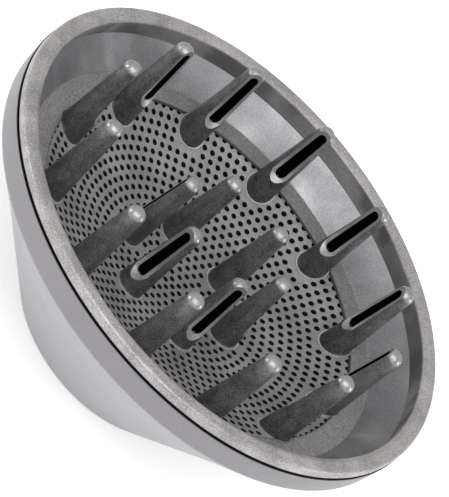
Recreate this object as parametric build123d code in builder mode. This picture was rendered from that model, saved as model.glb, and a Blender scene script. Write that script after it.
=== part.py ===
"""Bowl-type hair-dryer diffuser.

The origin is the centre of the flat dryer-end face and +Z runs up the axis, out of the mouth of
the bowl. A ring of tall air fingers stands at every 30 degrees, starting on +X, and a ring of
inner fingers at every 60 degrees. All sizes are in millimetres.
"""

import os
from math import cos, hypot, radians, sin, sqrt

from build123d import *

# Driving dimensions: the bowl.
RIM_RADIUS = 82.5
RIM_HEIGHT = 60.0
SEAM_HEIGHT = 56.4
SEAM_GAP = 0.6
SHELL_RADIUS = 82.75
SHOULDER = (81.8, 48.0)
CREASE = (69.9, 36.1)
END_BAND = (39.6, 3.6)
DRYER_END_RADIUS = 36.2
SHELL_WALL = 1.8

# Driving dimensions: the wall inside the bowl.
STEP_RADIUS = 77.5
STEP_HEIGHT = 52.7
FLOOR_RADIUS = 68.8
FLOOR_HEIGHT = 43.2
LIP_RADIUS = 61.15
LIP_THICKNESS = 0.5
DISH_WALL = 1.6

# Driving dimensions: the perforated plate, a cap of a sphere that sags below its flat edge.
PLATE_SPHERE = 150.0
PLATE_THICKNESS = 1.0
PLATE_CAP_RADIUS = 62.4
PLATE_EDGE_RADIUS = 65.0
HOLE_RINGS = 20
HOLE_PITCH = 3.064
HOLE_RADIUS = 0.9
BLANK_RADIUS = 6.3

# Driving dimensions: the air fingers.
OUTER_RING_RADIUS = 57.2
OUTER_FINGER_TOP = 73.4
OUTER_LEAN = 2.5
INNER_RING_RADIUS = 21.56
INNER_FINGER_TOP = 61.3
INNER_LEAN = -1.7
FINGER_ROOT_RADIUS = 4.95
FINGER_TIP_RADIUS = 3.1
FINGER_DOME = 2.6
SLOT_LENGTH = 21.6
SLOT_BELOW_TOP = 1.9
SLOT_ROOT_RADIUS = 1.8
SLOT_TIP_RADIUS = 1.5
FLAT_ROOT_DEPTH = 3.1
FLAT_TIP_DEPTH = 2.0
LEDGE_FLOOR_RADIUS = 3.7
LEDGE_FLOOR_DROP = 2.0
LEDGE_MOUTH_RADIUS = 7.0
LEDGE_MOUTH_DROP = 5.8
LEDGE_DEPTH = 2.5
CORE_ROOT_RADIUS = 2.9
CORE_TIP_RADIUS = 1.6
COLLAR_RADIUS = 5.45
COLLAR_HEIGHT = 0.45
NECK_RADIUS = 4.4
NECK_LENGTH = 5.2

# Driving dimensions: the dryer end.
BORE_RADIUS = 26.0
BORE_DEPTH = 16.0
BORE_WALL = 2.0
COLLAR_TOP = 20.0
MAGNET_CIRCLE = 30.8
MAGNET_RADIUS = 2.0
MAGNET_HEIGHT = 3.0
COVER_THICKNESS = 1.2
SCREW_RADIUS = 1.1
SCREW_HEAD_HEIGHT = 1.6

# Clearances between moulded pieces.
PRESS_GAP = 0.02
SNUG_GAP = 0.05
EASY_GAP = 0.1

# Heights that follow from the sizes above.
plate_edge_height = FLOOR_HEIGHT - LIP_THICKNESS
sphere_height = plate_edge_height + sqrt(PLATE_SPHERE**2 - PLATE_CAP_RADIUS**2)
SPHERE_CENTRE = (0, 0, sphere_height)


def plate_top(radius):
    """Height of the plate's upper face at a radius."""
    return sphere_height - sqrt(PLATE_SPHERE**2 - radius**2)


def finger_frame(ring_radius, lean, azimuth=0.0):
    """Frame at a finger's root: x away from the bowl's axis, z along the finger."""
    turn, tilt = radians(azimuth), radians(lean)
    outward = Vector(cos(turn), sin(turn), 0)
    up = Vector(0, 0, 1)
    root = outward * ring_radius + up * plate_top(ring_radius)
    return Plane(
        origin=root,
        x_dir=outward * cos(tilt) - up * sin(tilt),
        z_dir=outward * sin(tilt) + up * cos(tilt),
    )


outer_frames = [finger_frame(OUTER_RING_RADIUS, OUTER_LEAN, 30 * k) for k in range(12)]
inner_frames = [finger_frame(INNER_RING_RADIUS, INNER_LEAN, 60 * k) for k in range(6)]
finger_places = [frame.location for frame in outer_frames + inner_frames]

os.makedirs("parts", exist_ok=True)


def save(piece, name):
    """Label a finished piece and write it as its own STEP file."""
    piece.part.label = name
    export_step(piece.part, f"parts/{name}.step", write_pcurves=False)


# ---------------------------------------------------------------- outer shell
shell_rim_inner = 80.95
end_inner_radius = 34.6
cone_run = CREASE[0] - END_BAND[0]
cone_rise = CREASE[1] - END_BAND[1]
cone_inset = SHELL_WALL * hypot(cone_run, cone_rise) / cone_rise
band_run = SHOULDER[0] - CREASE[0]
band_rise = SHOULDER[1] - CREASE[1]
band_inset = SHELL_WALL * hypot(band_run, band_rise) / band_rise
crease_inner = (CREASE[0] - cone_inset, CREASE[1])
shoulder_inner_height = CREASE[1] + (shell_rim_inner - CREASE[0] + band_inset) * band_rise / band_run
end_inner_height = END_BAND[1] - (END_BAND[0] - cone_inset - end_inner_radius) * cone_rise / cone_run
shell_top = SEAM_HEIGHT - SEAM_GAP / 2
snap_height = 53.8
snap_depth = 0.4
snap_half = 0.5

with BuildPart() as outer_shell:
    with BuildSketch(Plane.XZ):
        with BuildLine():
            FilletPolyline(
                (SHELL_RADIUS, shell_top),
                SHOULDER,
                CREASE,
                END_BAND,
                (DRYER_END_RADIUS, 0),
                radius=1.6,
            )
            Polyline(
                (DRYER_END_RADIUS, 0),
                (end_inner_radius, 0),
                (end_inner_radius, end_inner_height),
                crease_inner,
                (shell_rim_inner, shoulder_inner_height),
                (shell_rim_inner, snap_height - snap_half),
                (shell_rim_inner + snap_depth, snap_height),
                (shell_rim_inner, snap_height + snap_half),
                (shell_rim_inner, shell_top),
                (SHELL_RADIUS, shell_top),
            )
        make_face()
    revolve(axis=Axis.Z)
save(outer_shell, "outer_shell")

# ------------------------------------------------- rim ring: bead and upper wall
bead_underside = SEAM_HEIGHT + SEAM_GAP / 2
rim_wall_outer = 79.45
bead_lip = (76.85, 58.6)
bead_shoulder = (77.9, 59.7)
bead_crest = (80.1, RIM_HEIGHT)
bead_outside = (RIM_RADIUS, 57.7)
bead_tuck = 0.25

with BuildPart() as rim_ring:
    with BuildSketch(Plane.XZ):
        with BuildLine():
            Line((STEP_RADIUS, STEP_HEIGHT), bead_lip)
            ThreePointArc(bead_lip, (77.15, 59.35), bead_shoulder)
            ThreePointArc(bead_shoulder, (79.0, 59.92), bead_crest)
            ThreePointArc(bead_crest, (81.8, 59.3), bead_outside)
            Polyline(
                bead_outside,
                (RIM_RADIUS - bead_tuck, bead_underside),
                (rim_wall_outer, bead_underside),
                (rim_wall_outer, STEP_HEIGHT),
                (STEP_RADIUS, STEP_HEIGHT),
            )
        make_face()
    revolve(axis=Axis.Z)
save(rim_ring, "rim_ring")

# --------------------------------------------- dish wall: conical wall and floor ring
flange_outer = shell_rim_inner - EASY_GAP
flange_inner = rim_wall_outer + SNUG_GAP
flange_foot = STEP_HEIGHT - 1.4
floor_underside = FLOOR_HEIGHT - DISH_WALL
rebate_radius = PLATE_EDGE_RADIUS + EASY_GAP
lip_underside = plate_top(LIP_RADIUS) + SNUG_GAP
barb_half = snap_half - EASY_GAP

with BuildPart() as dish_wall:
    with BuildSketch(Plane.XZ):
        with BuildLine():
            Polyline(
                (flange_outer, snap_height - barb_half),
                (flange_outer + snap_depth - SNUG_GAP, snap_height),
                (flange_outer, snap_height + barb_half),
                (flange_outer, SEAM_HEIGHT),
                (flange_inner, SEAM_HEIGHT),
                (flange_inner, STEP_HEIGHT),
                (STEP_RADIUS, STEP_HEIGHT),
                (FLOOR_RADIUS, FLOOR_HEIGHT),
                (LIP_RADIUS, FLOOR_HEIGHT),
                (LIP_RADIUS, lip_underside),
                (PLATE_CAP_RADIUS, plate_edge_height),
                (rebate_radius, plate_edge_height),
                (rebate_radius, floor_underside),
                (FLOOR_RADIUS + 0.7, floor_underside),
                (STEP_RADIUS + 0.9, flange_foot),
                (flange_outer, flange_foot),
                close=True,
            )
        make_face()
    revolve(axis=Axis.Z)
    # The lip is scalloped around the root of each outer finger.
    with Locations(*[frame.location for frame in outer_frames]):
        Cylinder(COLLAR_RADIUS + EASY_GAP, 8, mode=Mode.SUBTRACT)
save(dish_wall, "dish_wall")

# ------------------------------------------------------------- perforated plate
plate_underside_sphere = PLATE_SPHERE + PLATE_THICKNESS
plate_flange_underside = plate_edge_height - PLATE_THICKNESS


def hole_centres():
    """Mid-thickness centres of the air holes: ring i has 6 i, and none stands at a finger's root."""
    roots = [(frame.origin.X, frame.origin.Y) for frame in outer_frames + inner_frames]
    middle_sphere = PLATE_SPHERE + PLATE_THICKNESS / 2
    points = [(0, 0, sphere_height - middle_sphere)]
    for ring in range(1, HOLE_RINGS + 1):
        for step in range(6 * ring):
            turn = radians(60 * step / ring)
            x = HOLE_PITCH * ring * cos(turn)
            y = HOLE_PITCH * ring * sin(turn)
            if all(hypot(x - root_x, y - root_y) > BLANK_RADIUS for root_x, root_y in roots):
                points.append((x, y, sphere_height - sqrt(middle_sphere**2 - x**2 - y**2)))
    return points


with BuildPart() as perforated_plate:
    with Locations(SPHERE_CENTRE):
        Sphere(plate_underside_sphere)
        Sphere(PLATE_SPHERE, mode=Mode.SUBTRACT)
    with BuildSketch(Plane.XY.offset(plate_edge_height)):
        Circle(PLATE_CAP_RADIUS)
    extrude(amount=-20, mode=Mode.INTERSECT)
    with BuildSketch(Plane.XY.offset(plate_edge_height)):
        Circle(PLATE_EDGE_RADIUS)
        Circle(PLATE_CAP_RADIUS - EASY_GAP, mode=Mode.SUBTRACT)
    extrude(amount=-PLATE_THICKNESS)
    with Locations(*finger_places):
        Cylinder(NECK_RADIUS + EASY_GAP, 12, mode=Mode.SUBTRACT)
    # Each hole is a short barrel, HOLE_RADIUS wide at both faces.
    with Locations(*hole_centres()):
        Sphere(hypot(HOLE_RADIUS, PLATE_THICKNESS / 2), mode=Mode.SUBTRACT)
save(perforated_plate, "perforated_plate")


# ------------------------------------------------------------------ air fingers
def make_finger(frame, length, facing):
    """Hollow finger whose slot faces the axis (facing -1) or away from it (facing 1)."""
    side = Plane(origin=frame.origin, x_dir=frame.x_dir * -facing, z_dir=frame.y_dir * facing)
    finger_axis = Axis(frame.origin, frame.z_dir)
    slot_high = length - SLOT_BELOW_TOP - SLOT_TIP_RADIUS
    slot_low = length - SLOT_BELOW_TOP - SLOT_LENGTH + SLOT_ROOT_RADIUS
    foot = frame.from_local_coords(Vector(facing * FLAT_ROOT_DEPTH, 0, slot_low))
    head = frame.from_local_coords(Vector(facing * FLAT_TIP_DEPTH, 0, slot_high))
    across = frame.y_dir * facing
    flat = Plane(origin=foot, x_dir=across, z_dir=across.cross(head - foot))
    slot_span = (head - foot).length
    shoulder = length - FINGER_DOME
    cutter_length = 31
    cutter_centre = cutter_length / 2
    skirt = 3

    with BuildPart() as finger:
        # Low collar that sits on the plate around the finger's root.
        with BuildSketch(side):
            with Locations((COLLAR_RADIUS / 2, 0)):
                Rectangle(COLLAR_RADIUS, 8)
        revolve(axis=finger_axis)
        with Locations(SPHERE_CENTRE):
            Sphere(PLATE_SPHERE - COLLAR_HEIGHT, mode=Mode.SUBTRACT)
        # Tapered body with a domed tip, cut off on the plate's upper face.
        with BuildSketch(side):
            with BuildLine():
                Polyline(
                    (0, length),
                    (0, -skirt),
                    (FINGER_ROOT_RADIUS + 0.2, -skirt),
                    (FINGER_TIP_RADIUS, shoulder),
                )
                ThreePointArc(
                    (FINGER_TIP_RADIUS, shoulder),
                    (FINGER_TIP_RADIUS * 0.74, shoulder + FINGER_DOME * 0.7),
                    (0, length),
                )
            make_face()
        revolve(axis=finger_axis)
        with Locations(SPHERE_CENTRE):
            Sphere(PLATE_SPHERE, mode=Mode.INTERSECT)
        # Neck that passes through the plate into the carrier's socket.
        with BuildSketch(side):
            with Locations((NECK_RADIUS / 2, 1 - NECK_LENGTH / 2)):
                Rectangle(NECK_RADIUS, NECK_LENGTH + 2)
        revolve(axis=finger_axis)
        # Flat face with a sloping round-bottomed ledge below the slot.
        with BuildSketch(flat):
            with Locations((0, cutter_centre + LEDGE_FLOOR_RADIUS - LEDGE_FLOOR_DROP)):
                SlotCenterToCenter(cutter_length, 2 * LEDGE_FLOOR_RADIUS, rotation=90)
        with BuildSketch(flat.offset(LEDGE_DEPTH)):
            with Locations((0, cutter_centre + LEDGE_MOUTH_RADIUS - LEDGE_MOUTH_DROP)):
                SlotCenterToCenter(cutter_length, 2 * LEDGE_MOUTH_RADIUS, rotation=90)
        loft(mode=Mode.SUBTRACT)
        # Hollow core and the slot that opens it.
        with BuildSketch(side):
            with BuildLine():
                Polyline(
                    (0, -NECK_LENGTH),
                    (CORE_ROOT_RADIUS, -NECK_LENGTH),
                    (CORE_TIP_RADIUS, slot_high),
                    (CORE_TIP_RADIUS * 0.75, slot_high + 1.1),
                    (0, slot_high + 1.4),
                    close=True,
                )
            make_face()
        revolve(axis=finger_axis, mode=Mode.SUBTRACT)
        with BuildSketch(flat.offset(1)):
            with Locations((0, 0)):
                Circle(SLOT_ROOT_RADIUS)
            with Locations((0, slot_span)):
                Circle(SLOT_TIP_RADIUS)
            make_hull()
        extrude(amount=-1 - FLAT_ROOT_DEPTH, mode=Mode.SUBTRACT)
    return finger


outer_length = (OUTER_FINGER_TOP - outer_frames[0].origin.Z) / cos(radians(OUTER_LEAN))
inner_length = (INNER_FINGER_TOP - inner_frames[0].origin.Z) / cos(radians(INNER_LEAN))
outer_template = make_finger(outer_frames[0], outer_length, -1)
inner_template = make_finger(inner_frames[0], inner_length, 1)

for k in range(12):
    with BuildPart() as outer_finger:
        add(outer_template.part, rotation=(0, 0, 30 * k))
    save(outer_finger, f"outer_finger_{k + 1:02d}")

for k in range(6):
    with BuildPart() as inner_finger:
        add(inner_template.part, rotation=(0, 0, 60 * k))
    save(inner_finger, f"inner_finger_{k + 1}")

# ---------------------------------------------------------------- finger carrier
SOCKET_RADIUS = 5.6
SPOKE_WIDTH = 2.2
RING_WIDTH = 3.0
HUB_RADIUS = 5.0
SPOKE_DEPTH = 2.0
SOCKET_DEPTH = 4.0
HUB_FLOOR = 18
hub_underside = 23.5
hub_height = 2.5

with BuildPart() as finger_carrier:
    with BuildSketch(Plane.XY.offset(HUB_FLOOR)):
        for radius in (INNER_RING_RADIUS, OUTER_RING_RADIUS):
            Circle(radius + RING_WIDTH / 2)
            Circle(radius - RING_WIDTH / 2, mode=Mode.SUBTRACT)
        Circle(HUB_RADIUS)
        spoke_length = OUTER_RING_RADIUS - INNER_RING_RADIUS
        with PolarLocations((OUTER_RING_RADIUS + INNER_RING_RADIUS) / 2, 12):
            Rectangle(spoke_length, SPOKE_WIDTH)
        with PolarLocations(INNER_RING_RADIUS / 2, 6):
            Rectangle(INNER_RING_RADIUS, SPOKE_WIDTH)
    extrude(amount=30)
    with Locations(SPHERE_CENTRE):
        Sphere(plate_underside_sphere + SPOKE_DEPTH, mode=Mode.SUBTRACT)
    with Locations(*finger_places):
        Cylinder(SOCKET_RADIUS, 16)
    with Locations(SPHERE_CENTRE):
        Sphere(plate_underside_sphere + SOCKET_DEPTH, mode=Mode.INTERSECT)
        Sphere(plate_underside_sphere + PRESS_GAP, mode=Mode.SUBTRACT)
    # The outer sockets stay below the plate's flat edge.
    with BuildSketch(Plane.XY.offset(plate_flange_underside - PRESS_GAP)):
        Circle(PLATE_EDGE_RADIUS)
    extrude(amount=5, mode=Mode.SUBTRACT)
    with BuildSketch(Plane.XY.offset(hub_underside)):
        Circle(HUB_RADIUS)
    extrude(amount=hub_height)
    with Locations(*finger_places):
        Cylinder(NECK_RADIUS + SNUG_GAP, 20, mode=Mode.SUBTRACT)
    with BuildSketch(Plane.XY.offset(hub_underside)):
        Circle(SCREW_RADIUS + PRESS_GAP)
    extrude(amount=4, mode=Mode.SUBTRACT)
save(finger_carrier, "finger_carrier")

# -------------------------------------------------------------------- air duct
DUCT_WALL = 1.5
duct_inner = BORE_RADIUS + BORE_WALL + EASY_GAP
duct_outer = duct_inner + DUCT_WALL
duct_mouth_inner = 63.4
duct_mouth_outer = duct_mouth_inner + DUCT_WALL
duct_flange = 68.3
duct_foot = 6.8
boss_radius = 2.5
boss_top = 17.0
screw_places = PolarLocations(MAGNET_CIRCLE, 4, start_angle=22.5)

with BuildPart() as inner_duct:
    with BuildSketch(Plane.XZ):
        with BuildLine():
            Polyline(
                (duct_inner, duct_foot),
                (duct_outer, duct_foot),
                (duct_outer, 15.2),
                (60.6, 32.2),
                (duct_mouth_outer, 36.6),
                (duct_mouth_outer, 40.2),
                (duct_flange, 40.2),
                (duct_flange, floor_underside),
                (rebate_radius, floor_underside),
                (rebate_radius, plate_flange_underside),
                (duct_mouth_inner, plate_flange_underside),
                (duct_mouth_inner, 37.0),
                (60.0, 33.5),
                (duct_inner, 16.0),
                close=True,
            )
        make_face()
    revolve(axis=Axis.Z)
    with BuildSketch(Plane.XY.offset(duct_foot)):
        with screw_places:
            Circle(boss_radius)
        Circle(duct_inner + 0.2, mode=Mode.SUBTRACT)
    extrude(amount=boss_top - duct_foot)
    with BuildSketch(Plane.XY.offset(duct_foot)):
        with screw_places:
            Circle(SCREW_RADIUS + PRESS_GAP)
    extrude(amount=9, mode=Mode.SUBTRACT)
save(inner_duct, "inner_duct")

# ----------------------------------------------------------------- air spreader
spreader_apex = 17.0
spreader_radius = 15.0
spreader_rim = 21.6
spreader_wall = 1.2
spreader_bore = SCREW_RADIUS + 0.15

with BuildPart() as air_spreader:
    with BuildSketch(Plane.XZ):
        with BuildLine():
            Polyline(
                (spreader_bore, spreader_apex + 2),
                (2.2, spreader_apex + 2),
                (2.2, spreader_apex),
                (3.4, spreader_apex),
                (spreader_radius, spreader_rim),
                (spreader_radius, spreader_rim + spreader_wall),
                (spreader_radius - 0.8, spreader_rim + spreader_wall),
                (3.8, spreader_apex + 1.9),
                (3.8, hub_underside),
                (spreader_bore, hub_underside),
                close=True,
            )
        make_face()
    revolve(axis=Axis.Z)
save(air_spreader, "air_spreader")


# ------------------------------------------------------------------------ screws
def make_screw(head_radius, head_top, tip_height, places):
    """Self-tapping screws whose heads point down, with a cross recess in each head."""
    recess_length = head_radius * 1.2
    recess_width = 0.5
    recess_depth = 0.8
    with BuildPart() as screw:
        with BuildSketch(Plane.XY.offset(head_top - SCREW_HEAD_HEIGHT)):
            with places:
                Circle(head_radius)
        extrude(amount=SCREW_HEAD_HEIGHT)
        with BuildSketch(Plane.XY.offset(head_top)):
            with places:
                Circle(SCREW_RADIUS)
        extrude(amount=tip_height - head_top)
        with BuildSketch(Plane.XY.offset(head_top - SCREW_HEAD_HEIGHT)):
            with places:
                Rectangle(recess_length, recess_width)
                Rectangle(recess_width, recess_length)
        extrude(amount=recess_depth, mode=Mode.SUBTRACT)
    return screw


web_underside = 5.2
save(make_screw(1.9, web_underside, 15.0, screw_places), "collar_screws")
save(make_screw(1.95, spreader_apex + 2, 26.5, Locations((0, 0))), "spreader_screw")

# ------------------------------------------------------------------ inlet collar
groove_inner = 28.4
groove_outer = 33.2
collar_outer = end_inner_radius - EASY_GAP
collar_step = 1.0
web_outer = 39.1
seal_groove_radius = 26.8
seal_height = 16.6
shoulder_height = 18.5
shoulder_radius = 23.5

with BuildPart() as inlet_collar:
    with BuildSketch(Plane.XZ):
        with BuildLine():
            Polyline(
                (BORE_RADIUS, 0),
                (groove_inner, 0),
                (groove_inner, web_underside),
                (groove_outer, web_underside),
                (groove_outer, 0),
                (collar_outer, 0),
                (collar_outer, collar_step),
                (web_outer, 6.2),
                (web_outer, duct_foot),
                (BORE_RADIUS + BORE_WALL, duct_foot),
                (BORE_RADIUS + BORE_WALL, COLLAR_TOP),
                (shoulder_radius, COLLAR_TOP),
                (shoulder_radius, shoulder_height),
                (seal_groove_radius, shoulder_height),
                (seal_groove_radius, BORE_DEPTH),
                (BORE_RADIUS, BORE_DEPTH),
                close=True,
            )
        make_face()
    revolve(axis=Axis.Z)
    with BuildSketch(Plane.XY.offset(web_underside)):
        with screw_places:
            Circle(SCREW_RADIUS + 0.2)
    extrude(amount=duct_foot - web_underside, mode=Mode.SUBTRACT)
save(inlet_collar, "inlet_collar")

# ------------------------------------------------------- magnets and their cover
with BuildPart() as attachment_magnets:
    with BuildSketch(Plane.XY.offset(COVER_THICKNESS)):
        with PolarLocations(MAGNET_CIRCLE, 8):
            Circle(MAGNET_RADIUS)
    extrude(amount=MAGNET_HEIGHT)
save(attachment_magnets, "attachment_magnets")

with BuildPart() as magnet_cover:
    with BuildSketch(Plane.XY):
        Circle(groove_outer - SNUG_GAP)
        Circle(groove_inner + SNUG_GAP, mode=Mode.SUBTRACT)
    extrude(amount=COVER_THICKNESS)
save(magnet_cover, "magnet_cover")

# ------------------------------------------------------------------- nozzle seal
seal_outer = seal_groove_radius - PRESS_GAP
seal_inner = shoulder_radius + 0.4

with BuildPart() as nozzle_seal:
    with BuildSketch(Plane.XZ):
        with BuildLine():
            Polyline(
                (seal_inner, seal_height + 0.5),
                (seal_inner + 0.5, seal_height),
                (seal_outer, seal_height),
                (seal_outer, shoulder_height),
                (seal_inner, shoulder_height),
                close=True,
            )
        make_face()
    revolve(axis=Axis.Z)
save(nozzle_seal, "nozzle_seal")
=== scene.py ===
"""Looks of the dryer diffuser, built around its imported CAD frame. Metres, +Z up, opening upwards."""

import math

import bpy
from mathutils import Matrix, Vector
from mathutils.geometry import delaunay_2d_cdt


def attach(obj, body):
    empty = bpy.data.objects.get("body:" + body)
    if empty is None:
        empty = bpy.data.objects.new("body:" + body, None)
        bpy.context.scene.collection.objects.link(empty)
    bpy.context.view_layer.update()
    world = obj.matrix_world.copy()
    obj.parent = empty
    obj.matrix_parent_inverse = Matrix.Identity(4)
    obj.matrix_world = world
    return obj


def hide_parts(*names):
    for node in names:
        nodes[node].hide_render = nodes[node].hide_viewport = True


MM = 0.001


# ---------------------------------------------------------------- node material helpers


class Nodes:
    """A material's node tree, written from top to bottom."""

    def __init__(self, name):
        self.material = bpy.data.materials.new(name)
        self.material.use_nodes = True
        self.tree = self.material.node_tree
        self.tree.nodes.clear()
        self.coord = self.tree.nodes.new("ShaderNodeTexCoord").outputs["Object"]

    def put(self, kind, inputs=None, **settings):
        node = self.tree.nodes.new(kind)
        for key, value in settings.items():
            setattr(node, key, value)
        for key, value in (inputs or {}).items():
            if isinstance(value, bpy.types.NodeSocket):
                self.tree.links.new(value, node.inputs[key])
            else:
                node.inputs[key].default_value = value
        return node

    def math(self, operation, a, b=0.0):
        return self.put("ShaderNodeMath", {0: a, 1: b}, operation=operation).outputs[0]

    def noise(self, feature_mm, detail=3.0, roughness=0.55):
        scale = 1.0 / (feature_mm * MM)
        node = self.put(
            "ShaderNodeTexNoise",
            {"Vector": self.coord, "Scale": scale, "Detail": detail, "Roughness": roughness},
        )
        return node.outputs["Fac"]

    def remap(self, value, low, high, to_low=0.0, to_high=1.0):
        node = self.put(
            "ShaderNodeMapRange",
            {
                "Value": value,
                "From Min": low,
                "From Max": high,
                "To Min": to_low,
                "To Max": to_high,
            },
            clamp=True,
            interpolation_type="SMOOTHSTEP",
        )
        return node.outputs["Result"]

    def blend(self, factor, a, b):
        node = self.put("ShaderNodeMix", data_type="RGBA")
        for socket, value in ((0, factor), (6, a), (7, b)):
            if isinstance(value, bpy.types.NodeSocket):
                self.tree.links.new(value, node.inputs[socket])
            else:
                node.inputs[socket].default_value = value
        return node.outputs[2]

    def cylinder_axes(self):
        """(distance from the Z axis, height), both in millimetres."""
        split = self.put("ShaderNodeSeparateXYZ", {0: self.coord})
        x, y, z = (split.outputs[i] for i in range(3))
        radius = self.math(
            "SQRT", self.math("ADD", self.math("MULTIPLY", x, x), self.math("MULTIPLY", y, y))
        )
        return self.math("MULTIPLY", radius, 1000.0), self.math("MULTIPLY", z, 1000.0)

    def bump(self, height, distance_mm, strength=1.0, normal=None):
        inputs = {"Height": height, "Distance": distance_mm * MM, "Strength": strength}
        if normal is not None:
            inputs["Normal"] = normal
        return self.put("ShaderNodeBump", inputs).outputs["Normal"]

    def hollow_shade(self, reach_mm):
        """Painted shade mask from ambient occlusion: 1 deep inside slots, holes and gaps narrower than
        the reach, 0 on open faces.
        """
        node = self.put("ShaderNodeAmbientOcclusion", {"Distance": reach_mm * MM}, samples=8)
        return self.remap(node.outputs["AO"], 0.5, 0.25)

    def facing_up(self, low, high):
        """1 where the surface faces up the axis, 0 on the sides."""
        split = self.put(
            "ShaderNodeSeparateXYZ", {0: self.tree.nodes.new("ShaderNodeNewGeometry").outputs["Normal"]}
        )
        return self.remap(split.outputs[2], low, high)

    def finish(self, colour, roughness, normal, metallic=0.0, specular=0.5, **extra):
        inputs = {
            "Base Color": colour,
            "Roughness": roughness,
            "Normal": normal,
            "Metallic": metallic,
            "Specular IOR Level": specular,
        }
        inputs.update(extra)
        shader = self.put("ShaderNodeBsdfPrincipled", inputs)
        out = self.tree.nodes.new("ShaderNodeOutputMaterial")
        self.tree.links.new(shader.outputs["BSDF"], out.inputs["Surface"])
        return self.material

    def open_from_behind(self):
        """Each face is seen through from its back, so the floor never hides the underside."""
        out = self.tree.nodes["Material Output"].inputs["Surface"]
        behind = self.tree.nodes.new("ShaderNodeNewGeometry").outputs["Backfacing"]
        clear = self.tree.nodes.new("ShaderNodeBsdfTransparent").outputs["BSDF"]
        front = out.links[0].from_socket
        mix = self.put("ShaderNodeMixShader", {0: behind, 1: front, 2: clear})
        self.tree.links.new(mix.outputs[0], out)


def grey(value, red=0.0, blue=0.0):
    """An opaque grey from a linear value, with a little more or less red and blue in it."""
    return (value * (1.0 + red), value, value * (1.0 + blue), 1.0)


def moulded(name, base, grain_mm, grain_depth, rough, variation=0.12, metallic=0.0):
    """Moulded or painted surface: spark-eroded grain, soft mottling and uneven gloss."""
    n = Nodes(name)
    mottle = n.noise(18.0, 4.0, 0.6)
    fine = n.noise(grain_mm, 2.0, 0.6)
    shade = n.math("ADD", n.math("MULTIPLY", mottle, 0.6), n.math("MULTIPLY", fine, 0.4))
    dark = tuple(c * (1.0 - variation) for c in base[:3]) + (1.0,)
    light = tuple(c * (1.0 + variation) for c in base[:3]) + (1.0,)
    colour = n.blend(n.remap(shade, 0.35, 0.65), dark, light)
    gloss = n.remap(n.noise(7.0, 3.0), 0.3, 0.7, rough - 0.05, rough + 0.05)
    normal = n.bump(fine, grain_depth)
    normal = n.bump(n.noise(3.0, 1.0), grain_depth * 1.5, 0.5, normal)
    return n.finish(colour, gloss, normal, metallic)


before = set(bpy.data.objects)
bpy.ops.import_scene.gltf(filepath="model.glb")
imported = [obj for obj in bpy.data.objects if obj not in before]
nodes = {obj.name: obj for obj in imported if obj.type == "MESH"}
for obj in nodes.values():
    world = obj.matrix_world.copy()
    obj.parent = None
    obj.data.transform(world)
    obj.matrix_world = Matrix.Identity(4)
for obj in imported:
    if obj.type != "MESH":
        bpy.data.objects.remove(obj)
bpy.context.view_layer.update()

plate_grey = moulded("plate_grey_look", grey(0.245, 0.02), 0.4, 0.02, 0.48, 0.24, 0.3)
# Painted shade: the hole walls are near black, so the holes read as dark bores.
hole_wall_shade = moulded("plate_hole_shade_look", grey(0.005), 0.3, 0.01, 0.6, 0.2)
duct_black = moulded("duct_black_look", grey(0.006), 0.5, 0.02, 0.6, 0.2)
collar_charcoal = moulded("collar_charcoal_look", grey(0.03), 0.4, 0.02, 0.42, 0.2)
seal_rubber = moulded("seal_rubber_look", grey(0.012), 0.6, 0.02, 0.7, 0.2)
magnet_nickel = moulded("magnet_nickel_look", grey(0.55, 0.02), 0.2, 0.004, 0.25, 0.1, 1.0)
screw_steel = moulded("screw_steel_look", grey(0.45), 0.2, 0.006, 0.32, 0.1, 1.0)


def shell_material():
    """Satin silver paint, cool on the cone; the steep band under the rim gets painted shade, a darker
    copy of the paint, and the top edge by the rim gets painted shadow in black.
    """
    n = Nodes("shell_paint_look")
    height = n.cylinder_axes()[1]
    band_shade_mask = n.remap(height, 47.4, 48.6)
    mottle = n.noise(22.0, 4.0, 0.6)
    flake = n.noise(0.3, 2.0, 0.6)
    shade = n.math("ADD", n.math("MULTIPLY", mottle, 0.2), n.math("MULTIPLY", flake, 0.8))
    shade = n.remap(shade, 0.35, 0.65)
    cone = n.blend(shade, grey(0.28, 0.01, 0.06), grey(0.325, 0.01, 0.06))
    band_painted_shade = n.blend(shade, grey(0.19, 0.04, 0.06), grey(0.23, 0.04, 0.06))
    # Painted shade: the steep band under the rim takes the darker copy, as it is lit less than the cone.
    colour = n.blend(band_shade_mask, cone, band_painted_shade)
    # Painted shadow: a black strip along the shell's top edge stands for the shadow in the gap under the
    # rim bead.
    colour = n.blend(n.remap(height, 55.9, 56.05), colour, grey(0.008))
    gloss = n.remap(n.noise(8.0, 3.0), 0.3, 0.7, 0.40, 0.44)
    normal = n.bump(flake, 0.008)
    return n.finish(colour, gloss, normal, 0.25)


shell_paint = shell_material()


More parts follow.
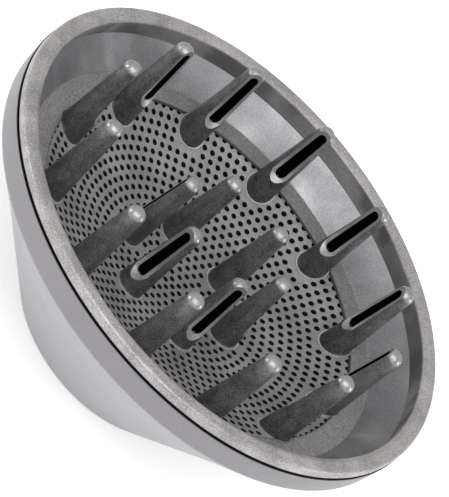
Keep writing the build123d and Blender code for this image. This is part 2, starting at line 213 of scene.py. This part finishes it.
def dish_material():
    """Cool satin wall with soft lighter and darker clouds of painted reflection; the floor ring is
    warmer and grainier, its lip darker.
    """
    n = Nodes("dish_satin_look")
    radius, height = n.cylinder_axes()
    # Painted reflection: soft clouds blend a darker and a lighter copy of the wall's grey, standing in
    # for the studio's reflection.
    reflection_cloud = n.remap(n.noise(26.0, 3.0, 0.5), 0.36, 0.64)
    fine = n.noise(0.5, 2.0, 0.6)
    speckle = n.remap(fine, 0.35, 0.65)
    dark = n.blend(speckle, grey(0.20, 0.0, 0.05), grey(0.27, 0.0, 0.05))
    light = n.blend(speckle, grey(0.30, 0.0, 0.03), grey(0.38, 0.0, 0.03))
    colour = n.blend(reflection_cloud, dark, light)
    floor_ring = n.blend(speckle, grey(0.20, 0.04, 0.01), grey(0.34, 0.04, 0.01))
    colour = n.blend(n.remap(height, 43.8, 43.3), colour, floor_ring)
    lip = n.remap(radius, 61.75, 61.25)
    colour = n.blend(lip, colour, grey(0.12))
    gloss = n.remap(n.noise(7.0, 3.0), 0.3, 0.7, 0.34, 0.46)
    normal = n.bump(fine, 0.012)
    normal = n.bump(n.noise(6.0, 2.0), 0.02, 0.5, normal)
    return n.finish(colour, gloss, normal, 0.55)


dish_satin = dish_material()


# Where the fingers stand and where their slots begin, in millimetres. A slope is how far a finger
# leans outward for each millimetre that it rises.
OUTER_RING = 57.2
INNER_RING = 21.56
BETWEEN_RINGS = 40.0
OUTER_SLOPE = math.tan(math.radians(2.5))
INNER_SLOPE = math.tan(math.radians(-1.7))
OUTER_ROOT_HEIGHT = 40.4
INNER_ROOT_HEIGHT = 30.7
OUTER_SLOT_FOOT = 48.2
INNER_SLOT_FOOT = 36.1


def finger_material():
    """Dark satin fingers with painted light: painted highlights on the rail round the slot, the ledge
    and the tip, and painted shade that makes the hollow black.
    """
    n = Nodes("finger_charcoal_look")
    point = n.put("ShaderNodeSeparateXYZ", {0: n.coord}).outputs
    geometry = n.tree.nodes.new("ShaderNodeNewGeometry")
    normal = n.put("ShaderNodeSeparateXYZ", {0: geometry.outputs["Normal"]}).outputs
    radius, height = n.cylinder_axes()
    outer = n.math("GREATER_THAN", radius, BETWEEN_RINGS)

    def by_ring(inner_value, outer_value):
        return n.remap(outer, 0.0, 1.0, inner_value, outer_value)

    # The nearest finger's azimuth, and the surface's place and normal in that finger's own axes.
    pitch = by_ring(math.radians(60.0), math.radians(30.0))
    swing = n.math("ARCTAN2", point[1], point[0])
    azimuth = n.math("SNAP", n.math("ADD", swing, n.math("MULTIPLY", pitch, 0.5)), pitch)
    cosine, sine = n.math("COSINE", azimuth), n.math("SINE", azimuth)

    def outward(x, y):
        return n.math("ADD", n.math("MULTIPLY", x, cosine), n.math("MULTIPLY", y, sine))

    def sideways(x, y):
        return n.math("SUBTRACT", n.math("MULTIPLY", y, cosine), n.math("MULTIPLY", x, sine))

    rise = n.math("SUBTRACT", height, by_ring(INNER_ROOT_HEIGHT, OUTER_ROOT_HEIGHT))
    lean = n.math("MULTIPLY", rise, by_ring(INNER_SLOPE, OUTER_SLOPE))
    axis_radius = n.math("ADD", by_ring(INNER_RING, OUTER_RING), lean)
    u = n.math("SUBTRACT", n.math("MULTIPLY", outward(point[0], point[1]), 1000.0), axis_radius)
    v = n.math("MULTIPLY", sideways(point[0], point[1]), 1000.0)
    normal_u, normal_v = outward(normal[0], normal[1]), sideways(normal[0], normal[1])
    away = n.math("ADD", n.math("MULTIPLY", u, normal_u), n.math("MULTIPLY", v, normal_v))
    # A surface whose normal points back at the finger's own axis is inside its hollow; it gets painted
    # shade, near black, rough and without reflection.
    from_axis = n.math("SQRT", n.math("ADD", n.math("MULTIPLY", u, u), n.math("MULTIPLY", v, v)))
    inside_painted_shade = n.math("MULTIPLY", n.remap(away, -0.1, -0.4), n.remap(from_axis, 4.2, 3.9))
    foot_highlight = n.remap(from_axis, 5.05, 5.25)
    faces_slot = n.math("MULTIPLY", normal_u, by_ring(1.0, -1.0))
    above_foot = n.math("SUBTRACT", height, by_ring(INNER_SLOT_FOOT, OUTER_SLOT_FOOT))
    rail_highlight = n.math("MULTIPLY", n.remap(faces_slot, 0.93, 0.98), n.remap(above_foot, 0.0, 0.8))

    mottle = n.noise(5.0, 4.0, 0.65)
    fine = n.noise(0.35, 2.0, 0.6)
    speckle = n.remap(fine, 0.35, 0.65)
    shade = n.math("ADD", n.math("MULTIPLY", mottle, 0.35), n.math("MULTIPLY", fine, 0.65))
    shade = n.remap(shade, 0.38, 0.62)
    root = n.blend(shade, grey(0.045, 0.02), grey(0.16, 0.02))
    shaft = n.blend(shade, grey(0.09, 0.02), grey(0.27, 0.02))
    body = n.blend(n.remap(rise, 0.0, 24.0), root, shaft)
    ledge_painted_light = n.blend(speckle, grey(0.27), grey(0.38))
    rail_foot_highlight = n.blend(speckle, grey(0.48), grey(0.66))
    rail_top_highlight = n.blend(speckle, grey(0.24), grey(0.38))
    tip_painted_highlight = n.blend(speckle, grey(0.25), grey(0.42))
    # Painted light: faces that turn up the axis, such as the ledge round the slot's foot, get a lighter
    # grey as if lit from above.
    colour = n.blend(n.facing_up(0.16, 0.42), body, ledge_painted_light)
    # Painted highlight: the top of the tip dome is lighter still.
    colour = n.blend(n.facing_up(0.62, 0.86), colour, tip_painted_highlight)
    # Painted highlight: the flat face round the slot is lighter, brightest by the slot's foot, as if
    # catching the light.
    colour = n.blend(rail_highlight, colour, n.blend(n.remap(above_foot, 3.0, 12.0), rail_foot_highlight, rail_top_highlight))
    # Painted shade: recesses narrower than the reach turn near black.
    colour = n.blend(n.hollow_shade(3.5), colour, grey(0.003))
    # Painted highlight: the outer edge of the collar at the finger's root gets the light grey of the
    # rail's foot.
    colour = n.blend(foot_highlight, colour, rail_foot_highlight)
    # Painted shade: the inside of the hollow is near black.
    colour = n.blend(inside_painted_shade, colour, grey(0.0015))
    gloss = n.remap(n.noise(4.0, 3.0), 0.3, 0.7, 0.30, 0.42)
    gloss = n.remap(inside_painted_shade, 0.0, 1.0, gloss, 0.9)
    shine = n.remap(inside_painted_shade, 0.0, 1.0, 0.5, 0.05)
    return n.finish(colour, gloss, n.bump(fine, 0.014), n.remap(inside_painted_shade, 0.0, 1.0, 0.6, 0.0), shine)


finger_charcoal = finger_material()


def rim_material():
    """The rim bead is satin grey; the inner face of the same moulding gets painted shade and clouds of
    painted reflection, and a strip at the seam gets painted shadow.
    """
    n = Nodes("rim_satin_look")
    radius, height = n.cylinder_axes()
    inside_painted_shade = n.math("MULTIPLY", n.remap(radius, 78.1, 77.7), n.remap(height, 59.5, 58.9))
    mottle = n.noise(9.0, 4.0, 0.6)
    reflection_cloud = n.remap(n.noise(16.0, 2.0, 0.5), 0.38, 0.62)
    fine = n.noise(0.45, 2.0, 0.6)
    shade = n.math("ADD", n.math("MULTIPLY", mottle, 0.35), n.math("MULTIPLY", fine, 0.65))
    shade = n.remap(shade, 0.38, 0.62)
    bead = n.blend(shade, grey(0.22, 0.06), grey(0.42, 0.06))
    # Painted shade and painted reflection: the inner face is a darker grey, broken by reflection clouds.
    shaded_wall = n.blend(reflection_cloud, grey(0.13, 0.03), n.blend(shade, grey(0.22, 0.03), grey(0.33, 0.03)))
    colour = n.blend(inside_painted_shade, bead, shaded_wall)
    # Painted shadow: the bead's underside and lower skirt over the seam are painted black, standing in
    # for the shadow in the gap.
    seam_shadow = n.math("MULTIPLY", n.remap(height, 56.95, 56.75), n.remap(radius, 79.0, 79.4))
    colour = n.blend(seam_shadow, colour, grey(0.008))
    gloss = n.remap(n.noise(6.0, 3.0), 0.3, 0.7, 0.38, 0.50)
    normal = n.bump(fine, 0.014)
    return n.finish(colour, gloss, normal, 0.3)


rim_satin = rim_material()

LOOKS = {
    "shell_paint": shell_paint,
    "rim_satin": rim_satin,
    "dish_satin": dish_satin,
    "plate_grey": plate_grey,
    "finger_charcoal": finger_charcoal,
    "duct_black": duct_black,
    "collar_charcoal": collar_charcoal,
    "magnet_nickel": magnet_nickel,
    "screw_steel": screw_steel,
    "seal_rubber": seal_rubber,
}
for node in nodes.values():
    for material_slot in node.material_slots:
        look = LOOKS[material_slot.material.name]
        material_slot.link = "OBJECT"
        material_slot.material = look


# ---------------------------------------------------------------- mesh helpers

SMOOTH_ANGLE = math.radians(38.0)


def add_piece(name, vertices, faces, looks, slot_name, replaced, face_looks=None):
    """A mesh in millimetres becomes a smooth-shaded piece that stands for a CAD node."""
    mesh = bpy.data.meshes.new(name)
    mesh.from_pydata([(x * MM, y * MM, z * MM) for x, y, z in vertices], [], faces)
    mesh.polygons.foreach_set("use_smooth", [True] * len(mesh.polygons))
    for look in looks:
        mesh.materials.append(look)
    if face_looks is not None:
        mesh.polygons.foreach_set("material_index", face_looks)
    mesh.update()
    mesh.set_sharp_from_angle(angle=SMOOTH_ANGLE)
    piece = bpy.data.objects.new(name, mesh)
    bpy.context.scene.collection.objects.link(piece)
    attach(piece, "root")
    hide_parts(replaced)
    return piece


def rounded(corners, steps=6):
    """Closed profile of (radius, height, fillet) corners with each fillet drawn as an arc."""
    points = []
    count = len(corners)
    for i, (r, z, fillet) in enumerate(corners):
        here = Vector((r, z))
        if fillet <= 0.0:
            points.append((r, z))
            continue
        back = Vector(corners[i - 1][:2]) - here
        ahead = Vector(corners[(i + 1) % count][:2]) - here
        half = back.angle(ahead) / 2.0
        reach = min(fillet / math.tan(half), back.length * 0.49, ahead.length * 0.49)
        start = here + back.normalized() * reach
        end = here + ahead.normalized() * reach
        bisector = (back.normalized() + ahead.normalized()).normalized()
        centre = here + bisector * (reach / math.cos(half))
        spoke_a, spoke_b = start - centre, end - centre
        sweep = spoke_a.angle(spoke_b)
        for k in range(steps + 1):
            t = k / steps
            weight_a = math.sin((1.0 - t) * sweep) / math.sin(sweep)
            weight_b = math.sin(t * sweep) / math.sin(sweep)
            point = centre + spoke_a * weight_a + spoke_b * weight_b
            points.append((point.x, point.y))
    return points


def lathe(profile, segments, warp=None):
    """Vertices and faces of a closed profile turned about the Z axis."""
    vertices, faces = [], []
    count = len(profile)
    for s in range(segments):
        turn = 2.0 * math.pi * s / segments
        for r, z in profile:
            radius = r if warp is None else warp(r, z, turn)
            vertices.append((radius * math.cos(turn), radius * math.sin(turn), z))
    for s in range(segments):
        here, there = s * count, ((s + 1) % segments) * count
        for k in range(count):
            nxt = (k + 1) % count
            faces.append((here + k, here + nxt, there + nxt, there + k))
    return vertices, faces


# ---------------------------------------------------------------- bowl: shell, rim ring, dish wall

SHELL_PROFILE = [
    (82.75, 56.1, 0.35),
    (81.8, 48.0, 2.6),
    (69.9, 36.1, 3.2),
    (39.6, 3.6, 1.6),
    (36.2, 0.0, 0.4),
    (34.6, 0.0, 0.2),
    (34.6, 0.88, 0.0),
    (67.44, 36.1, 0.0),
    (80.95, 49.7, 0.0),
    (80.95, 56.1, 0.2),
]
RIM_PROFILE = [
    (77.5, 52.7, 0.0),
    (76.8, 59.2, 0.9),
    (78.6, 60.0, 1.2),
    (82.5, 60.0, 2.3),
    (82.5, 57.2, 0.4),
    (82.25, 56.7, 0.2),
    (79.45, 56.7, 0.0),
    (79.45, 52.7, 0.0),
]
LIP_RADIUS = 61.15
LIP_UNDERSIDE = 42.2
DISH_PROFILE = [
    (80.85, 51.3, 0.0),
    (80.85, 56.4, 0.0),
    (79.5, 56.4, 0.0),
    (79.5, 52.7, 0.0),
    (77.5, 52.7, 0.15),
    (68.8, 43.2, 0.5),
    (62.9, 43.2, 0.0),
    (LIP_RADIUS, 43.2, 0.25),
    (LIP_RADIUS, LIP_UNDERSIDE, 0.0),
    (62.4, 42.7, 0.0),
    (65.1, 42.7, 0.0),
    (65.1, 41.6, 0.0),
    (69.5, 41.6, 0.0),
    (78.4, 51.3, 0.0),
]
SHELL_SEGMENTS = 288
DISH_SEGMENTS = 720
OUTER_FINGERS = 12
SCALLOP_CENTRE = 57.33
SCALLOP_RADIUS = 5.55
SCALLOPED_WITHIN = 62.45
SCALLOP_LIMIT = 62.85
LIP_SPREAD = 0.1


def scalloped(r, z, turn):
    """The floor ring's inner lip gives way around the root of each outer finger."""
    if r > SCALLOPED_WITHIN:
        return r
    pitch = 2.0 * math.pi / OUTER_FINGERS
    offset = (turn + pitch / 2.0) % pitch - pitch / 2.0
    across = SCALLOP_CENTRE * math.sin(offset)
    if abs(across) >= SCALLOP_RADIUS:
        return r
    edge = SCALLOP_CENTRE * math.cos(offset) + math.sqrt(SCALLOP_RADIUS**2 - across**2)
    return max(r, min(edge + (r - LIP_RADIUS) * LIP_SPREAD, SCALLOP_LIMIT))


shell_mesh = lathe(rounded(SHELL_PROFILE), SHELL_SEGMENTS)
add_piece("shell_body", *shell_mesh, [shell_paint], "shell_paint", "outer_shell")
rim_mesh = lathe(rounded(RIM_PROFILE, 8), SHELL_SEGMENTS)
add_piece("rim_bead", *rim_mesh, [rim_satin], "rim_satin", "rim_ring")
dish_mesh = lathe(rounded(DISH_PROFILE), DISH_SEGMENTS, scalloped)
add_piece("bowl_wall", *dish_mesh, [dish_satin], "dish_satin", "dish_wall")


# ---------------------------------------------------------------- perforated plate

PLATE_SPHERE = 150.0
PLATE_THICKNESS = 1.0
PLATE_CAP_RADIUS = 62.4
PLATE_EDGE_RADIUS = 64.95
PLATE_EDGE_HEIGHT = 42.7
SPHERE_HEIGHT = PLATE_EDGE_HEIGHT + math.sqrt(PLATE_SPHERE**2 - PLATE_CAP_RADIUS**2)
HOLE_RINGS = 20
HOLE_PITCH = 3.064
HOLE_RADIUS = 0.9
HOLE_MOUTH = 0.97
HOLE_CHAMFER = 0.08
HOLE_SIDES = 14
ROOT_SIDES = 28
RIM_SIDES = 240
CDT_KEEP_INSIDE = 1
CDT_EPSILON = 1e-6
BLANK_RADIUS = 6.3
ROOT_RADIUS = 4.5


def plate_height(x, y, sphere=PLATE_SPHERE):
    radius = math.hypot(x, y)
    if radius > PLATE_CAP_RADIUS - 0.05:
        return PLATE_EDGE_HEIGHT - (sphere - PLATE_SPHERE)
    return SPHERE_HEIGHT - math.sqrt(sphere**2 - radius**2)


def circle(x, y, radius, sides):
    turns = [2.0 * math.pi * k / sides for k in range(sides)]
    return [(x + radius * math.cos(turn), y + radius * math.sin(turn)) for turn in turns]


def finger_roots():
    roots = [(OUTER_RING, math.radians(30 * k)) for k in range(12)]
    roots += [(INNER_RING, math.radians(60 * k)) for k in range(6)]
    return [(r * math.cos(a), r * math.sin(a)) for r, a in roots]


def hole_centres(roots):
    """Ring i has 6 i holes, except where a finger stands."""
    centres = [(0.0, 0.0)]
    for ring in range(1, HOLE_RINGS + 1):
        for step in range(6 * ring):
            turn = math.radians(60.0 * step / ring)
            x = HOLE_PITCH * ring * math.cos(turn)
            y = HOLE_PITCH * ring * math.sin(turn)
            if all(math.hypot(x - rx, y - ry) > BLANK_RADIUS for rx, ry in roots):
                centres.append((x, y))
    return centres


def build_plate():
    """Vertices, faces and looks (0 face, 1 hole wall in near-black painted shade) of the plate, drawn
    from its face loops.
    """
    roots = finger_roots()
    loops = [(circle(x, y, HOLE_MOUTH, HOLE_SIDES), (x, y)) for x, y in hole_centres(roots)]
    hole_count = len(loops)
    loops += [(circle(x, y, ROOT_RADIUS, ROOT_SIDES), (x, y)) for x, y in roots]
    rims = [circle(0.0, 0.0, radius, RIM_SIDES) for radius in (PLATE_CAP_RADIUS, PLATE_EDGE_RADIUS)]
    flat, owner, edges = [], [], []
    for index, points in enumerate([loop for loop, centre in loops] + rims):
        first = len(flat)
        flat += [Vector(p) for p in points]
        owner += [index] * len(points)
        edges += [(first + k, first + (k + 1) % len(points)) for k in range(len(points))]
    result = delaunay_2d_cdt(flat, edges, [], CDT_KEEP_INSIDE, CDT_EPSILON)
    spots, triangles, origins = result[0], result[2], result[3]
    rim_first = len(loops)
    owners = [owner[o[0]] if o else rim_first for o in origins]
    kept = [
        tuple(t)
        for t in triangles
        if not (owners[t[0]] == owners[t[1]] == owners[t[2]] and owners[t[0]] < rim_first)
    ]
    count = len(spots)
    vertices = [(p[0], p[1], plate_height(p[0], p[1])) for p in spots]
    faces = list(kept)
    looks = [0] * len(faces)
    back_sphere = PLATE_SPHERE + PLATE_THICKNESS
    vertices += [(p[0], p[1], plate_height(p[0], p[1], back_sphere)) for p in spots]
    # On the back, each hole's loop is drawn in to the straight bore.
    rings = [[] for _ in range(rim_first + len(rims))]
    for i, index in enumerate(owners):
        rings[index].append(i)
    for index in range(hole_count):
        cx, cy = loops[index][1]
        for i in rings[index]:
            x, y, z = vertices[count + i]
            shrink = HOLE_RADIUS / HOLE_MOUTH
            vertices[count + i] = (cx + (x - cx) * shrink, cy + (y - cy) * shrink, z)
    faces += [(count + c, count + b, count + a) for a, b, c in kept]
    looks += [0] * len(kept)
    for index, ring in enumerate(rings):
        if index == rim_first:
            continue
        cx, cy = loops[index][1] if index < rim_first else (0.0, 0.0)
        ring.sort(key=lambda i: math.atan2(spots[i][1] - cy, spots[i][0] - cx))
        sides = len(ring)
        outward = index > rim_first
        middle = None
        if index < hole_count:
            middle = len(vertices)
            for i in ring:
                back_x, back_y = vertices[count + i][:2]
                vertices.append((back_x, back_y, vertices[i][2] - HOLE_CHAMFER))
        for k in range(sides):
            a, b = ring[k], ring[(k + 1) % sides]
            quads = [(a, b, count + b, count + a)]
            if middle is not None:
                ma, mb = middle + k, middle + (k + 1) % sides
                quads = [(a, b, mb, ma), (ma, mb, count + b, count + a)]
            faces += [quad[::-1] if outward else quad for quad in quads]
            looks += [1] * len(quads)
    return vertices, faces, looks


plate_vertices, plate_faces, plate_looks = build_plate()
add_piece(
    "perforated_dish",
    plate_vertices,
    plate_faces,
    [plate_grey, hole_wall_shade],
    "plate_grey",
    "perforated_plate",
    plate_looks,
)


# ---------------------------------------------------------------- edges of the carried-over pieces

EDGE_ROUND = {
    "finger": 0.16,
    "finger_carrier": 0.2,
    "inlet_collar": 0.25,
    "magnet_cover": 0.2,
    "inner_duct": 0.2,
    "air_spreader": 0.2,
}
for name, node in nodes.items():
    key = "finger" if "_finger_" in name else name
    if key in EDGE_ROUND:
        bevel = node.modifiers.new("edge_round", "BEVEL")
        bevel.width = EDGE_ROUND[key] * MM
        bevel.segments = 2
        bevel.limit_method = "ANGLE"
        bevel.angle_limit = math.radians(32.0)
        bevel.use_clamp_overlap = True
        bevel.harden_normals = True


# ---------------------------------------------------------------- studio

HORIZON_LIGHT = 0.38
ZENITH_LIGHT = 0.70
FLOOR_GLOW = 0.45
FLOOR_DROP = 0.1 * MM

scene = bpy.context.scene
world = bpy.data.worlds.new("studio")
scene.world = world
world.use_nodes = True
background = world.node_tree.nodes["Background"]
sky = world.node_tree.nodes
sky_direction = sky.new("ShaderNodeTexCoord").outputs["Generated"]
sky_height = sky.new("ShaderNodeSeparateXYZ")
sky_range = sky.new("ShaderNodeMapRange")
world.node_tree.links.new(sky_direction, sky_height.inputs[0])
world.node_tree.links.new(sky_height.outputs[2], sky_range.inputs["Value"])
sky_range.inputs["To Min"].default_value = HORIZON_LIGHT
sky_range.inputs["To Max"].default_value = ZENITH_LIGHT
world.node_tree.links.new(sky_range.outputs["Result"], background.inputs["Strength"])
background.inputs["Color"].default_value = (1.0, 1.0, 1.0, 1.0)
scene.view_settings.view_transform = "Standard"


def studio_floor():
    mesh = bpy.data.meshes.new("floor")
    half = 30.0
    corners = [(-half, -half), (half, -half), (half, half), (-half, half)]
    mesh.from_pydata([(x, y, -FLOOR_DROP) for x, y in corners], [], [(0, 1, 2, 3)])
    floor = bpy.data.objects.new("floor", mesh)
    scene.collection.objects.link(floor)
    n = Nodes("floor_look")
    colour = n.blend(n.noise(40.0), grey(0.86), grey(0.88))
    glow = {"Emission Color": (1.0, 1.0, 1.0, 1.0), "Emission Strength": FLOOR_GLOW}
    mesh.materials.append(n.finish(colour, 0.8, n.bump(n.noise(2.0), 0.02), 0.0, 0.2, **glow))
    n.open_from_behind()


studio_floor()


SOFTBOX_AIM = Vector((0.0, 0.0, 45.0)) * MM


def softbox(name, azimuth, elevation, distance, width, height, power):
    light = bpy.data.lights.new(name, "AREA")
    light.shape = "RECTANGLE"
    light.size = width
    light.size_y = height
    light.energy = power
    obj = bpy.data.objects.new(name, light)
    a, e = math.radians(azimuth), math.radians(elevation)
    direction = Vector((math.cos(e) * math.cos(a), math.cos(e) * math.sin(a), math.sin(e)))
    obj.location = SOFTBOX_AIM + direction * distance
    obj.rotation_mode = "QUATERNION"
    obj.rotation_quaternion = direction.to_track_quat("Z", "Y")
    scene.collection.objects.link(obj)


softbox("left_strip", 190.0, 12.0, 1.2, 0.16, 0.35, 3.0)
softbox("right_strip", 8.0, 12.0, 1.2, 0.16, 0.35, 3.0)
softbox("key", -88.0, 56.0, 1.8, 2.0, 1.6, 27.0)

# ---------------------------------------------------------------- camera

CAMERA_LENS = 285.16
CAMERA_DISTANCE = 1.07577
CAMERA_AZIMUTH = -97.262
CAMERA_ELEVATION = 32.888
CAMERA_ROLL = 51.744
AIM = Vector((0.76, -0.10, 52.62)) * MM

camera_data = bpy.data.cameras.new("photo_camera")
camera_data.lens = CAMERA_LENS
camera_data.sensor_width = 36.0
camera_data.sensor_fit = "HORIZONTAL"
camera_data.clip_start = 0.01
camera = bpy.data.objects.new("photo_camera", camera_data)
azimuth, elevation = math.radians(CAMERA_AZIMUTH), math.radians(CAMERA_ELEVATION)
back = Vector(
    (
        math.cos(elevation) * math.cos(azimuth),
        math.cos(elevation) * math.sin(azimuth),
        math.sin(elevation),
    )
)
turn = back.to_track_quat("Z", "Y") @ Matrix.Rotation(math.radians(CAMERA_ROLL), 3, "Z").to_quaternion()
camera.rotation_mode = "QUATERNION"
camera.rotation_quaternion = turn
camera.location = AIM + back * CAMERA_DISTANCE
scene.collection.objects.link(camera)
scene.camera = camera
